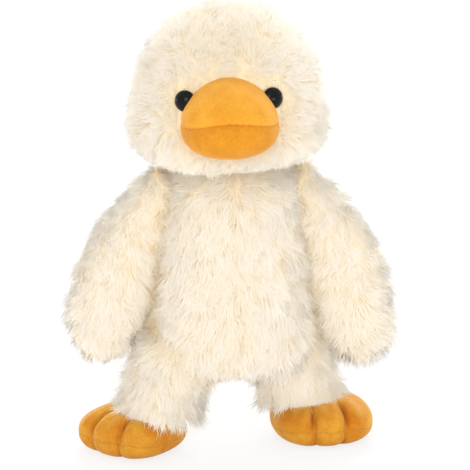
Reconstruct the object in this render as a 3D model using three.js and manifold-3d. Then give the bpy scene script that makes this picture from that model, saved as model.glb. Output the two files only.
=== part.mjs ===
// A plush duck that squeaks, a soft toy for dogs. Millimetres, +Z up.
// It stands on its soles and faces -Y, so its own left side is +X.

import * as THREE from 'three';
import { mergeVertices } from 'three/addons/utils/BufferGeometryUtils.js';
import Module from 'manifold-3d';

const wasm = await Module();
wasm.setup();

// Cloth and clearances
const plushThickness = 3;
const velourThickness = 2.2;
const seamGap = 0.3;
const turningGap = 0.4;
const overrun = 1; // how far a cutting shape runs on past what it cuts

// Feet
const footLength = 62;
const footWidth = 62;
const footThickness = 25;
const footShift = 13;
const footOutset = 10;
const toeNotchDepth = 2.6;
const toeNotchAngle = 20;
const leftFootYaw = 5;
const rightFootYaw = -42;

// Legs
const ankleRadius = 21;
const ankleSink = 3.5;
const ankleCuff = 4.5;
const ankleSpacing = 90;
const stride = 18;
const legLength = 36.5;
const hipSpacing = 66;
const hipRadius = 24;
const legForwardSwing = 35;
const legBackSwing = 20;

// Body
const crotchDrop = 14;
const bodyHeight = 141;
const hipsWidth = 106;
const shouldersWidth = 74;
const hipsDepth = 84;
const shouldersDepth = 64;
const sideSeamSetback = 4;

// Neck and head
const neckRadius = 40;
const neckWadRadius = 22;
const neckWadHeight = 10;
const headOverlap = 10;
const headHeight = 97;
const cheeksWidth = 124;
const crownWidth = 84;
const cheeksDepth = 108;
const crownDepth = 80;
const gussetWidth = 62;
const headYaw = -4;
const headTilt = -1.5;

// Bill
const billRise = 43;
const billHeight = 46;
const billLowWidth = 66;
const billHighWidth = 48;
const billLowReach = 40;
const billHighReach = 34;
const mouthRise = 9.5;
const mouthDrop = 5;

// Eyes
const eyeSpacing = 51;
const eyeRise = 52;
const eyeRadius = 6.5;
const eyeDomeHeight = 4.5;
const eyeShankRadius = 1.8;
const eyeShankLength = 9;
const eyeWasherRadius = 7.5;
const eyeWasherThickness = 1.4;

// Wings
const wingRootDrop = 22;
const wingRootRadius = 9;
const wingRootStandOff = 2.5;
const wingRootDepth = 28;
const wingDrop = 108;
const wingSpread = 41.5;
const wingBow = 0.72; // share of the spread that is reached where the wing bends
const wingWidth = 46;
const wingDepth = 38;

// Squeaker
const squeakerRadius = 20;
const squeakerPlateThickness = 2.5;
const squeakerBellowsHeight = 22;
const squeakerRibDepth = 3;
const squeakerRibCount = 2;
const squeakerWall = 1.2;
const squeakerRise = 40;
const reedRadius = 5.5;
const reedBore = 2;
const reedLength = 12;

// Places worked out from the sizes
const ankleHeight = footThickness - ankleSink;
const hipHeight = ankleHeight + legLength;
const bodyBottom = hipHeight - crotchDrop;
const bodyTop = bodyBottom + bodyHeight;
const neckPivotHeight = bodyTop - neckRadius;
const headBottom = bodyTop - headOverlap;
const billCentreHeight = headBottom + billRise;
const wingRootHeight = bodyTop - wingRootDrop;

const beyond = 200;
const ovalBluntness = 2.2;
const radians = THREE.MathUtils.degToRad;
const mix = THREE.MathUtils.lerp;

const cream = { color: 0xf3e9d2, roughness: 0.95, metalness: 0 };
const orange = { color: 0xf0a22c, roughness: 0.85, metalness: 0 };
const black = { color: 0x0b0b0c, roughness: 0.12, metalness: 0 };
const fibre = { color: 0xf6f5f1, roughness: 1, metalness: 0 };
const clearPlastic = { color: 0xd9dcdc, roughness: 0.45, metalness: 0 };

// A closed surface through rings of points, with a point at each end.
function loft(start, rings, end) {
  const count = rings[0].length;
  const points = [start, ...rings.flat(), end];
  const index = [];
  const at = (ring, side) => 1 + ring * count + (side % count);
  for (let side = 0; side < count; side++) {
    index.push(0, at(0, side + 1), at(0, side));
    index.push(points.length - 1, at(rings.length - 1, side), at(rings.length - 1, side + 1));
    for (let ring = 0; ring < rings.length - 1; ring++) {
      index.push(at(ring, side), at(ring, side + 1), at(ring + 1, side + 1));
      index.push(at(ring, side), at(ring + 1, side + 1), at(ring + 1, side));
    }
  }
  const geometry = new THREE.BufferGeometry().setFromPoints(points);
  geometry.setIndex(index);
  return geometry;
}

function enclosedVolume(positions, index) {
  const corner = [0, 1, 2].map(() => new THREE.Vector3());
  let sum = 0;
  for (let i = 0; i < index.length; i += 3) {
    corner.forEach((point, k) => point.fromArray(positions, 3 * index[i + k]));
    sum += corner[0].dot(corner[1].clone().cross(corner[2]));
  }
  return sum / 6;
}

// A solid for joining and cutting, with its faces turned outward.
function solid(geometry) {
  const bare = geometry.clone();
  bare.deleteAttribute('normal');
  bare.deleteAttribute('uv');
  const merged = mergeVertices(bare);
  const vertProperties = new Float32Array(merged.attributes.position.array);
  const triVerts = new Uint32Array(merged.index.array);
  if (enclosedVolume(vertProperties, triVerts) < 0) triVerts.reverse();
  return new wasm.Manifold(new wasm.Mesh({ numProp: 3, vertProperties, triVerts }));
}

function meshOf(name, shape, finish) {
  const { vertProperties, triVerts } = shape.getMesh();
  const geometry = new THREE.BufferGeometry();
  geometry.setAttribute('position', new THREE.BufferAttribute(vertProperties, 3));
  geometry.setIndex(new THREE.BufferAttribute(triVerts, 1));
  const mesh = new THREE.Mesh(geometry, new THREE.MeshStandardMaterial(finish));
  mesh.name = name;
  return mesh;
}

function block(low, high) {
  const size = new THREE.Vector3().subVectors(high, low);
  const middle = new THREE.Vector3().addVectors(low, high).multiplyScalar(0.5);
  return solid(new THREE.BoxGeometry(size.x, size.y, size.z).translate(middle.x, middle.y, middle.z));
}

// Everything on one side of a plane across an axis, stopping half a seam short of it.
function beside(axis, place, side) {
  const low = new THREE.Vector3(-beyond, -beyond, -beyond);
  const high = new THREE.Vector3(beyond, beyond, 2 * beyond);
  (side > 0 ? low : high)[axis] = place + (side * seamGap) / 2;
  return block(low, high);
}

// A turned solid round +Z, from its outline as [radius, height] pairs.
function turned(outline, sides) {
  const points = outline.map(([radius, height]) => new THREE.Vector2(radius, height));
  return solid(new THREE.LatheGeometry(points, sides).rotateX(Math.PI / 2));
}

function cylinder(radius, low, high, sides) {
  return turned([[0, low], [radius, low], [radius, high], [0, high]], sides);
}

// A round hollow whose flat faces all keep the turning gap to a ball of this radius. It is turned by
// half a side, so that the ball's edges lie against its flats at rest.
function socketFor(radius, centre, sides) {
  const halfSide = Math.PI / sides;
  const clear = (radius + turningGap) / Math.cos(halfSide) ** 2;
  const sphere = new THREE.SphereGeometry(clear, sides, sides / 2).rotateX(Math.PI / 2).rotateZ(halfSide);
  return solid(sphere.translate(centre.x, centre.y, centre.z));
}

// An oval ring of points; bluntness 2 is an ellipse, and more squares it off.
function ovalRing(centre, across, along, halfAcross, halfAlong, sides, bluntness = ovalBluntness) {
  return Array.from({ length: sides }, (_, side) => {
    const angle = (2 * Math.PI * side) / sides;
    const [c, s] = [Math.cos(angle), Math.sin(angle)];
    const wide = halfAcross * Math.sign(c) * Math.abs(c) ** (2 / bluntness);
    const deep = halfAlong * Math.sign(s) * Math.abs(s) ** (2 / bluntness);
    return centre.clone().addScaledVector(across, wide).addScaledVector(along, deep);
  });
}

// Shares of the way from 0 to 1 that crowd towards both ends, without the ends.
function crowded(count) {
  return Array.from({ length: count }, (_, i) => (1 - Math.cos((Math.PI * (i + 1)) / (count + 1))) / 2);
}

const xWay = new THREE.Vector3(1, 0, 0);
const yWay = new THREE.Vector3(0, 1, 0);
const zWay = new THREE.Vector3(0, 0, 1);

// Stuffed forms that stand upright: a taper from the low to the high size, rounded at both ends.
const bodyForm = {
  bottom: bodyBottom, height: bodyHeight, centreY: 0, sides: 20, rings: 9,
  width: [hipsWidth, shouldersWidth], depth: [hipsDepth, shouldersDepth], blunt: [6, 6],
};
const headForm = {
  bottom: headBottom, height: headHeight, centreY: 0, sides: 20, rings: 9,
  width: [cheeksWidth, crownWidth], depth: [cheeksDepth, crownDepth], blunt: [4.5, 2.6],
};

function halfSize(form, sizes, share, inset) {
  const reach = 2 * share - 1;
  const blunt = reach < 0 ? form.blunt[0] : form.blunt[1];
  return (mix(sizes[0], sizes[1], share) / 2 - inset) * Math.sqrt(1 - Math.abs(reach) ** blunt);
}

// A form set in from its outside is a lining or a stuffing, and has half the sides.
function uprightForm(form, inset) {
  const bottom = form.bottom + inset;
  const height = form.height - 2 * inset;
  const sides = inset > 0 ? form.sides / 2 : form.sides;
  const centreAt = (share) => new THREE.Vector3(0, form.centreY, bottom + share * height);
  const rings = crowded(form.rings).map((share) => ovalRing(
    centreAt(share), xWay, yWay,
    halfSize(form, form.width, share, inset), halfSize(form, form.depth, share, inset), sides,
  ));
  return solid(loft(centreAt(0), rings, centreAt(1)));
}

function shareAt(form, height) {
  return (height - form.bottom) / form.height;
}

// The point on an upright form's front at an x and a height, with the outward direction there.
function frontOf(form, x, height) {
  const share = shareAt(form, height);
  const [wide, deep] = [halfSize(form, form.width, share, 0), halfSize(form, form.depth, share, 0)];
  const [b, side] = [ovalBluntness, Math.sign(x)];
  const reach = (1 - Math.abs(x / wide) ** b) ** (1 / b);
  const step = 0.01;
  const slope = (halfSize(form, form.depth, share + step, 0) - deep) / (step * form.height);
  const lean = [side * Math.abs(x / wide) ** (b - 1) / wide, -(reach ** (b - 1)) / deep, -slope / deep];
  const place = new THREE.Vector3(x, form.centreY - deep * reach, height);
  return { place, outward: new THREE.Vector3(...lean).normalize() };
}

// The neck: a dome on the body that the head rocks on.
const neckPivot = new THREE.Vector3(0, 0, neckPivotHeight);

function neckDome(inset) {
  const radius = neckRadius - inset;
  const shoulder = radians(15);
  const steps = 6;
  const outline = [[0, -beyond], [beyond, -beyond], [beyond, radius * Math.sin(shoulder)]];
  for (let i = 0; i <= steps; i++) {
    const angle = mix(shoulder, Math.PI / 2, i / steps);
    outline.push([i < steps ? radius * Math.cos(angle) : 0, radius * Math.sin(angle)]);
  }
  return turned(outline, bodyForm.sides).translate([0, 0, neckPivotHeight]);
}

const neckSocket = socketFor(neckRadius, neckPivot, 20);
const wadTop = bodyTop + neckWadHeight;
const neckWad = cylinder(neckWadRadius, neckPivotHeight, wadTop, 20).subtract(neckSocket);
const neckPocket = cylinder(neckWadRadius + 2 * turningGap, neckPivotHeight, wadTop + turningGap, 20);

// Legs: a ball at the hip that tapers to a round ankle. The duck's left leg has side 1.
function hipOf(side) {
  return new THREE.Vector3((side * hipSpacing) / 2, (side * stride) / 2, hipHeight);
}

function ankleOf(side) {
  return new THREE.Vector3((side * ankleSpacing) / 2, (side * stride) / 2, ankleHeight);
}

function legForm(side, inset) {
  const [hip, ankle] = [hipOf(side), ankleOf(side)];
  const [wide, narrow] = [hipRadius - inset, ankleRadius - inset];
  const sides = inset > 0 ? 8 : 16;
  const cuffTop = ankle.clone().setZ(ankleHeight + ankleCuff);
  const rings = [ankle, cuffTop].map((centre) => ovalRing(centre, xWay, yWay, narrow, narrow, sides, 2));
  for (const share of [0.35, 0.7, 1]) {
    const centre = cuffTop.clone().lerp(hip, share);
    const radius = mix(narrow, wide, share);
    rings.push(ovalRing(centre, xWay, yWay, radius, radius, sides, 2));
  }
  for (const angle of [34, 56, 79].map(radians)) {
    const centre = hip.clone().addScaledVector(zWay, wide * Math.sin(angle));
    rings.push(ovalRing(centre, xWay, yWay, wide * Math.cos(angle), wide * Math.cos(angle), sides, 2));
  }
  return solid(loft(ankle, rings, hip.clone().addScaledVector(zWay, wide)));
}

// The room in the body that a leg swings in: a ball, and a wedge as wide as the leg below it.
// The edge is the angle from straight down at which the leg's own flank leaves the ball.
function hipWell(side) {
  const hip = hipOf(side);
  const edge = THREE.MathUtils.radToDeg(Math.atan2(legLength - ankleCuff, 2 * (hipRadius - ankleRadius)));
  const wedge = new THREE.Shape();
  wedge.moveTo(0, 0);
  for (const angle of [-(edge + legForwardSwing), -45, 0, 45, edge + legBackSwing].map(radians)) {
    wedge.lineTo(beyond * Math.sin(angle), -beyond * Math.cos(angle));
  }
  const inward = hipRadius * 0.8;
  const sweep = new THREE.ExtrudeGeometry(wedge, { depth: inward + beyond, bevelEnabled: false });
  sweep.applyMatrix4(new THREE.Matrix4().makeBasis(yWay, zWay, xWay)).translate(-inward, 0, 0);
  sweep.scale(side, 1, 1).translate(hip.x, hip.y, hip.z);
  return solid(sweep).add(socketFor(hipRadius, hip, 16));
}

// Wings: a paddle on a curved centre line, hung from a rounded root in a groove of the body.
function bodySide(height) {
  return halfSize(bodyForm, bodyForm.width, shareAt(bodyForm, height), 0);
}

function wingRootOf(side) {
  return new THREE.Vector3(side * (bodySide(wingRootHeight) + wingRootStandOff), 0, wingRootHeight);
}

function wingForm(side, inset) {
  const root = wingRootOf(side);
  const bend = root.clone().add(new THREE.Vector3(side * wingSpread * wingBow, 0, -wingDrop * 0.35));
  const tip = root.clone().add(new THREE.Vector3(side * wingSpread, 0, -wingDrop));
  const line = new THREE.QuadraticBezierCurve3(root, bend, tip);
  const [first, last] = [inset / wingDrop, 1 - inset / wingDrop];
  const rings = [0.02, 0.15, 0.32, 0.5, 0.68, 0.82, 0.92, 0.98].map((share) => {
    const t = mix(first, last, share);
    const across = line.getTangent(t).cross(yWay);
    const swell = THREE.MathUtils.smoothstep(share, -0.2, 0.62);
    const taper = Math.sqrt(1 - share ** 6);
    const halfWidth = (mix(wingRootRadius, wingWidth / 2, swell) - inset) * taper;
    const halfDepth = (mix(wingRootDepth, wingDepth, swell) / 2 - inset) * taper;
    return ovalRing(line.getPoint(t), across, yWay, halfWidth, halfDepth, inset > 0 ? 6 : 12);
  });
  return solid(loft(line.getPoint(first), rings, line.getPoint(last)));
}

// The root is egg-shaped, and round about the axis that the wing lifts on.
function wingRoot(side, growth) {
  const root = wingRootOf(side);
  const egg = new THREE.SphereGeometry(1, 16, 8);
  const round = wingRootRadius + growth;
  egg.scale(round, wingRootDepth / 2 + growth, round);
  return solid(egg.translate(root.x, root.y, root.z));
}

// Feet, about the ankle, toes towards -Y: a flat-soled pillow with two notches between three toes, set
// forward of the ankle and out from it, towards +X.
function footOutline(angle, inset) {
  const [c, s] = [Math.abs(Math.cos(angle)), Math.abs(Math.sin(angle))];
  const blunt = 2.5;
  const notchBreadth = radians(8);
  const radius = ((2 * c / footWidth) ** blunt + (2 * s / footLength) ** blunt) ** (-1 / blunt);
  const turn = THREE.MathUtils.euclideanModulo(angle + 1.5 * Math.PI, 2 * Math.PI);
  const fromToe = Math.abs(turn - Math.PI);
  const notch = Math.exp(-(((fromToe - radians(toeNotchAngle)) / notchBreadth) ** 2));
  return radius - toeNotchDepth * notch - inset;
}

function footForm(inset, sides = 36) {
  const pressedFlat = 1.5;
  const half = (footThickness + pressedFlat) / 2;
  const middle = footThickness - half;
  const pillowBluntness = 2.6;
  const rounding = 2 / pillowBluntness;
  const at = (x, y, z) => new THREE.Vector3(x + footOutset, y - footShift, Math.max(z, inset));
  const rings = [-62, -34, 0, 30, 56].map(radians).map((tilt) => {
    const reach = Math.cos(tilt) ** rounding;
    const height = middle + Math.sign(tilt) * (half - inset) * Math.abs(Math.sin(tilt)) ** rounding;
    return Array.from({ length: sides }, (_, side) => {
      const angle = (2 * Math.PI * side) / sides;
      const radius = footOutline(angle, inset) * reach;
      return at(radius * Math.cos(angle), radius * Math.sin(angle), height);
    });
  });
  return solid(loft(at(0, 0, inset), rings, at(0, 0, footThickness - inset)));
}

function buildFoot(name, yaw, side) {
  const recess = cylinder(ankleRadius + 2 * turningGap, ankleHeight - seamGap, beyond, 20);
  const outward = (shape) => (side > 0 ? shape : shape.mirror([1, 0, 0]));
  const lining = footForm(velourThickness, 18);
  const wad = footForm(velourThickness + seamGap, 18);
  const skin = outward(footForm(0).subtract(lining)).subtract(recess);
  const seamHeight = footThickness * 0.44;
  const foot = new THREE.Group();
  foot.position.copy(ankleOf(side)).setZ(0);
  foot.rotation.z = radians(yaw);
  foot.add(
    meshOf(`${name}_top_panel`, skin.intersect(beside('z', seamHeight, 1)), orange),
    meshOf(`${name}_sole`, skin.intersect(beside('z', seamHeight, -1)), orange),
    meshOf(`${name}_stuffing`, outward(wad).subtract(recess), fibre),
  );
  return foot;
}

function buildLeg(name, side) {
  const open = ankleOf(side);
  const lining = legForm(side, plushThickness);
  const mouth = cylinder(ankleRadius - plushThickness, -overrun, overrun, 8).translate([open.x, open.y, open.z]);
  const leg = new THREE.Group();
  leg.add(
    meshOf(`${name}_skin`, legForm(side, 0).subtract(lining.add(mouth)), cream),
    meshOf(`${name}_stuffing`, legForm(side, plushThickness + seamGap), fibre),
  );
  return leg;
}

function buildWing(name, side) {
  const clearOfBody = uprightForm(bodyForm, -seamGap);
  const lining = wingForm(side, plushThickness);
  const skin = wingForm(side, 0).subtract(clearOfBody).add(wingRoot(side, 0)).subtract(lining);
  const wing = new THREE.Group();
  wing.add(
    meshOf(`${name}_front_panel`, skin.intersect(beside('y', 0, -1)), cream),
    meshOf(`${name}_back_panel`, skin.intersect(beside('y', 0, 1)), cream),
    meshOf(`${name}_stuffing`, wingForm(side, plushThickness + seamGap).subtract(clearOfBody), fibre),
  );
  return wing;
}

// The squeaker lies level in a pocket of the stuffing, with its reed below and its cap on top.
const squeakerBottom = bodyBottom + squeakerRise;
const bellowsBottom = squeakerBottom + squeakerPlateThickness + seamGap;
const capBottom = bellowsBottom + squeakerBellowsHeight + seamGap;
const squeakerTop = capBottom + squeakerPlateThickness;
const stuffingSplit = squeakerTop + seamGap / 2;

function bellows() {
  const outer = [];
  for (let fold = 0; fold <= 2 * squeakerRibCount; fold++) {
    const height = bellowsBottom + (squeakerBellowsHeight * fold) / (2 * squeakerRibCount);
    outer.push([squeakerRadius - (fold % 2 ? squeakerRibDepth : 0), height]);
  }
  const inner = outer.map(([radius, height]) => [radius - squeakerWall, height]).reverse();
  return turned([...outer, ...inner, outer[0]], 16);
}

function buildSqueaker() {
  const reedHole = cylinder(reedRadius + seamGap, squeakerBottom - overrun, bellowsBottom + overrun, 16);
  const reedLow = squeakerBottom - reedLength / 2;
  const reed = cylinder(reedRadius, reedLow, reedLow + reedLength, 16);
  const bore = cylinder(reedBore, reedLow - overrun, reedLow + reedLength + overrun, 12);
  const base = cylinder(squeakerRadius, squeakerBottom, squeakerBottom + squeakerPlateThickness, 24);
  const squeaker = new THREE.Group();
  squeaker.add(
    meshOf('squeaker_base', base.subtract(reedHole), clearPlastic),
    meshOf('squeaker_reed', reed.subtract(bore), clearPlastic),
    meshOf('squeaker_bellows', bellows(), clearPlastic),
    meshOf('squeaker_cap', cylinder(squeakerRadius, capBottom, squeakerTop, 24), clearPlastic),
  );
  return squeaker;
}

function squeakerPocket() {
  const below = squeakerBottom - reedLength / 2;
  const drum = cylinder(squeakerRadius + turningGap, squeakerBottom - seamGap, stuffingSplit, 24);
  return drum.add(cylinder(reedRadius + seamGap, below - seamGap, squeakerBottom, 16));
}

function buildBody() {
  const grooves = (growth) => wingRoot(1, growth).add(wingRoot(-1, growth));
  const wells = hipWell(1).add(hipWell(-1)).add(grooves(turningGap));
  const filled = (inset) => uprightForm(bodyForm, inset).intersect(neckDome(inset));
  const skin = filled(0).subtract(filled(plushThickness)).subtract(wells).subtract(grooves(plushThickness));
  const stuffing = filled(plushThickness + seamGap).subtract(wells);
  const body = new THREE.Group();
  for (const [face, depthSide] of [['front', -1], ['back', 1]]) {
    for (const [hand, side] of [['left', 1], ['right', -1]]) {
      const quarter = beside('y', sideSeamSetback, depthSide).intersect(beside('x', 0, side));
      body.add(meshOf(`body_${face}_${hand}_panel`, skin.intersect(quarter), cream));
    }
  }
  const lower = stuffing.intersect(beside('z', stuffingSplit, -1)).subtract(squeakerPocket());
  body.add(
    meshOf('body_stuffing_lower', lower, fibre),
    meshOf('body_stuffing_upper', stuffing.intersect(beside('z', stuffingSplit, 1)), fibre),
  );
  return body;
}

// Eyes: a dome on the pile, its shank through the cloth, and a washer locked on it inside.
function eyeParts() {
  const dome = [[0, seamGap]];
  const steps = 4;
  for (let i = 0; i <= steps; i++) {
    const angle = ((Math.PI / 2) * i) / steps;
    dome.push([i < steps ? eyeRadius * Math.cos(angle) : 0, 2 * seamGap + eyeDomeHeight * Math.sin(angle)]);
  }
  dome.splice(1, 0, [eyeRadius, seamGap]);
  const shank = cylinder(eyeShankRadius, -eyeShankLength, overrun, 8);
  const washerTop = -plushThickness - seamGap;
  const washerLow = washerTop - eyeWasherThickness;
  const washerHole = cylinder(eyeShankRadius + seamGap, -eyeShankLength - seamGap, overrun, 8);
  return {
    eye: turned(dome, 16).add(shank),
    seat: cylinder(eyeWasherRadius + seamGap, washerLow - seamGap, -plushThickness, 12).add(washerHole),
    washer: cylinder(eyeWasherRadius, washerLow, washerTop, 12).subtract(washerHole),
    pocket: cylinder(eyeWasherRadius + seamGap, washerLow - seamGap, overrun, 12).add(washerHole),
    room: cylinder(eyeRadius + 2 * seamGap, -plushThickness, 2 * eyeRadius, 16),
  };
}

function placedOn(front, shape) {
  const turn = new THREE.Quaternion().setFromUnitVectors(zWay, front.outward);
  return shape.transform(new THREE.Matrix4().compose(front.place, turn, new THREE.Vector3(1, 1, 1)).elements);
}

// The bill: a stuffed form half sunk in the face, its panels parted by an arched mouth seam.
function billForm(inset) {
  const face = frontOf(headForm, 0, billCentreHeight).place.y;
  const form = {
    bottom: billCentreHeight - billHeight / 2, height: billHeight, centreY: face, sides: 16, rings: 7,
    width: [billLowWidth, billHighWidth], depth: [2 * billLowReach, 2 * billHighReach], blunt: [2.6, 2],
  };
  return uprightForm(form, inset);
}

function aboveMouth(gap) {
  const corner = billLowWidth / 2;
  const shape = new THREE.Shape();
  shape.moveTo(-beyond, beyond);
  shape.lineTo(-beyond, gap);
  shape.lineTo(-corner, gap);
  shape.quadraticCurveTo(0, 2 * mouthRise + gap, corner, gap);
  shape.lineTo(beyond, gap);
  shape.lineTo(beyond, beyond);
  const cutter = new THREE.ExtrudeGeometry(shape, { depth: beyond, bevelEnabled: false, curveSegments: 8 });
  return solid(cutter.rotateX(Math.PI / 2).translate(0, 0, billCentreHeight - mouthDrop));
}

// The head sits turned and tilted about the neck, while the opening for the neck stays upright.
function buildHead() {
  const head = new THREE.Group();
  head.rotation.set(0, radians(headTilt), radians(headYaw));
  head.position.copy(neckPivot).sub(neckPivot.clone().applyEuler(head.rotation));
  head.updateMatrix();
  const opening = neckSocket.add(neckPocket).transform(head.matrix.clone().invert().elements);
  const eye = eyeParts();
  const eyeFronts = [1, -1].map((side) => frontOf(headForm, (side * eyeSpacing) / 2, headBottom + eyeRise));
  const [leftFront, rightFront] = eyeFronts;
  const bothOf = (shape) => placedOn(leftFront, shape).add(placedOn(rightFront, shape));
  const lining = uprightForm(headForm, plushThickness);
  const skin = uprightForm(headForm, 0).subtract(lining).subtract(opening).subtract(bothOf(eye.seat));
  const filled = uprightForm(headForm, plushThickness + seamGap);
  const stuffing = filled.subtract(opening).subtract(bothOf(eye.pocket));
  const clearOfFace = uprightForm(headForm, -seamGap).add(bothOf(eye.room));
  const billSkin = billForm(0).subtract(billForm(velourThickness)).subtract(clearOfFace);
  const gusset = beside('x', gussetWidth / 2, -1).intersect(beside('x', -gussetWidth / 2, 1));
  head.add(
    meshOf('head_crown_gusset', skin.intersect(gusset), cream),
    meshOf('head_cheek_left_panel', skin.intersect(beside('x', gussetWidth / 2, 1)), cream),
    meshOf('head_cheek_right_panel', skin.intersect(beside('x', -gussetWidth / 2, -1)), cream),
    meshOf('head_stuffing', stuffing, fibre),
    meshOf('bill_upper_panel', billSkin.intersect(aboveMouth(seamGap / 2)), orange),
    meshOf('bill_lower_panel', billSkin.subtract(aboveMouth(-seamGap / 2)), orange),
    meshOf('bill_stuffing', billForm(velourThickness + seamGap).subtract(clearOfFace), fibre),
    meshOf('eye_left', placedOn(leftFront, eye.eye), black),
    meshOf('eye_right', placedOn(rightFront, eye.eye), black),
    meshOf('eye_washer_left', placedOn(leftFront, eye.washer), clearPlastic),
    meshOf('eye_washer_right', placedOn(rightFront, eye.washer), clearPlastic),
  );
  return head;
}

const group = new THREE.Group();
group.add(
  buildHead(),
  meshOf('neck_stuffing', neckWad, fibre),
  buildBody(),
  buildSqueaker(),
  buildWing('wing_left', 1),
  buildWing('wing_right', -1),
  buildLeg('leg_left', 1),
  buildLeg('leg_right', -1),
  buildFoot('foot_left', leftFootYaw, 1),
  buildFoot('foot_right', rightFootYaw, -1),
);

// The origin is the middle of the duck's footprint box, on the ground.
group.updateMatrixWorld(true);
const reach = new THREE.Box3().setFromObject(group, true);
const middle = reach.getCenter(new THREE.Vector3());
group.position.set(-middle.x, -middle.y, -reach.min.z);

export default group;
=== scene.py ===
import math
import bmesh
import bpy
import numpy as np
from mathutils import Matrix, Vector


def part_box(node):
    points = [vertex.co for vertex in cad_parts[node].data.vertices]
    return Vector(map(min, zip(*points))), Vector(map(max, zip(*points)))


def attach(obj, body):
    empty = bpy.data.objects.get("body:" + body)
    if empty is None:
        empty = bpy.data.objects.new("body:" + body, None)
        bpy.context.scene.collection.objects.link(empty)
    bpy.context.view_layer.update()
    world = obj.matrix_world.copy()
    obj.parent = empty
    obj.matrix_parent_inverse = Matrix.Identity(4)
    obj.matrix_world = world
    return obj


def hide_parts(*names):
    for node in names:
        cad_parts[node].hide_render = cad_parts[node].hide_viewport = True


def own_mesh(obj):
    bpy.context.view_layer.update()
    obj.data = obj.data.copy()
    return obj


# A plush duck that squeaks. It faces -Y and its own left side is +X.
# Shapes are worked out in millimetres about the duck's own axis, and become metres as they are made.

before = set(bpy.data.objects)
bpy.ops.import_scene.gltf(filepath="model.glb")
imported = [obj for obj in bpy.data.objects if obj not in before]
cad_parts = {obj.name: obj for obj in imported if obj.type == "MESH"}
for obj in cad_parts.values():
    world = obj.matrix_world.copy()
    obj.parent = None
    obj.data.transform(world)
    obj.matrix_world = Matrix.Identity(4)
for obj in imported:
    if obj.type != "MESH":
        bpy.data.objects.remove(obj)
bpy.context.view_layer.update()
dice = np.random.default_rng(20)
squeakerLow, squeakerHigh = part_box("squeaker_base")
toyAxis = np.array([(squeakerLow.x + squeakerHigh.x) / 2, (squeakerLow.y + squeakerHigh.y) / 2, 0.0])
pileShare = 1.0  # of the hairs that are grown
sides = {"left": 1, "right": -1}


# Small helpers on whole arrays
def mix(low, high, share):
    return low + (high - low) * share


def smooth(value, low=0.0, high=1.0):
    t = np.clip((value - low) / (high - low), 0, 1)
    return t * t * (3 - 2 * t)


def unit(vectors):
    return vectors / np.maximum(np.linalg.norm(vectors, axis=-1, keepdims=True), 1e-9)


def dot(a, b):
    return (a * b).sum(-1, keepdims=True)


def vec(x, y, z):
    return np.stack(np.broadcast_arrays(np.asarray(x, float), y, z), -1)


def powered(value, power):
    return np.sign(value) * np.abs(value) ** power


# Crowds values from 0 to 1 towards both ends, where a form turns the most: (1 - cos(pi * value)) / 2.
def crowded(value):
    return (1 - np.cos(math.pi * value)) / 2


# How far up a form a height lies, from 0 at its bottom to 1 at its top.
def shareAt(form, height):
    return (height - form["bottom"]) / form["height"]


# A pose is a matrix and a shift. The matrix turns about the vertical, then tilts about Y.
def poseOf(yaw, tilt, pivot, place):
    c, s = math.cos(math.radians(yaw)), math.sin(math.radians(yaw))
    a, b = math.cos(math.radians(tilt)), math.sin(math.radians(tilt))
    matrix = np.array([[a, 0, b], [0, 1, 0], [-b, 0, a]]) @ np.array([[c, -s, 0], [s, c, 0], [0, 0, 1]])
    return matrix, np.array(place) - matrix @ np.array(pivot)


def posed(points, pose):
    return points @ pose[0].T + pose[1]


straight = poseOf(0, 0, (0, 0, 0), (0, 0, 0))


# A number from 0 to 1 for each whole-number cell, the same every run.
def cellNumber(cells, salt):
    mixed = (cells.astype(np.int64) + 4096) @ np.array([73856093, 19349663, 83492791]) + salt * 2654435761
    for shift, factor in ((13, 1274126177), (15, 69069), (11, 40503)):
        mixed = ((mixed ^ (mixed >> shift)) * factor) & 0xFFFFFFFF
    return ((mixed >> 8) & 0xFFFF) / 65535.0


# Smooth noise from -1 to 1: the corner numbers of each cube cell, eased in all three directions.
def waviness(points, size, salt):
    scaled = points / size
    cell = np.floor(scaled).astype(np.int64)
    inside = smooth(scaled - cell)
    total = 0
    for corner in range(8):
        step = np.array([corner & 1, corner >> 1 & 1, corner >> 2])
        weight = np.prod(np.where(step, inside, 1 - inside), axis=-1)
        total = total + weight * cellNumber(cell + step, salt)
    return 2 * total - 1


# Tufts: each cube cell has one middle, at a chance place that is a tenth of the cell or more off its walls,
# and a point belongs to the nearest middle. Each tuft also has five numbers from 0 to 1.
def tufts(points, size, salt):
    home = np.floor(points / size).astype(np.int64)
    nearest = np.full(len(points), np.inf)
    middle = np.zeros_like(points)
    owner = np.zeros_like(home)
    for number in range(27):
        cell = home + np.array([number % 3, number // 3 % 3, number // 9]) - 1
        jitter = np.stack([cellNumber(cell, salt + k) for k in range(3)], -1)
        place = (cell + 0.1 + 0.8 * jitter) * size
        away = np.linalg.norm(points - place, axis=-1)
        closer = away < nearest
        nearest = np.where(closer, away, nearest)
        middle[closer] = place[closer]
        owner[closer] = cell[closer]
    return middle, [cellNumber(owner, salt + 10 + k) for k in range(5)]


# Stuffed forms are functions of an angle round them and of up, which runs from 0 to 1.
# Half width and half depth taper from the low to the high size, times sqrt(1 - |reach|^blunt),
# where reach is -1 at the bottom and 1 at the top.
def halfSizes(form, share):
    reach = 2 * share - 1
    blunt = np.where(reach < 0, form["blunt"][0], form["blunt"][1])
    closing = np.sqrt(np.maximum(1 - np.abs(reach) ** blunt, 0))
    return mix(*form["width"], share) / 2 * closing, mix(*form["depth"], share) / 2 * closing


# Cross-sections are ovals on which |x / wide|^oval + |y / deep|^oval is 1.
oval = 2.2


# A point of an oval: x = wide * cos^(2 / oval), y = deep * sin^(2 / oval), keeping their signs.
def uprightPoint(form, around, share):
    wide, deep = halfSizes(form, share)
    x = wide * powered(np.cos(around), 2 / oval)
    y = form.get("centreY", 0) + deep * powered(np.sin(around), 2 / oval)
    return vec(x, y, form["bottom"] + share * form["height"])


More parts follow.
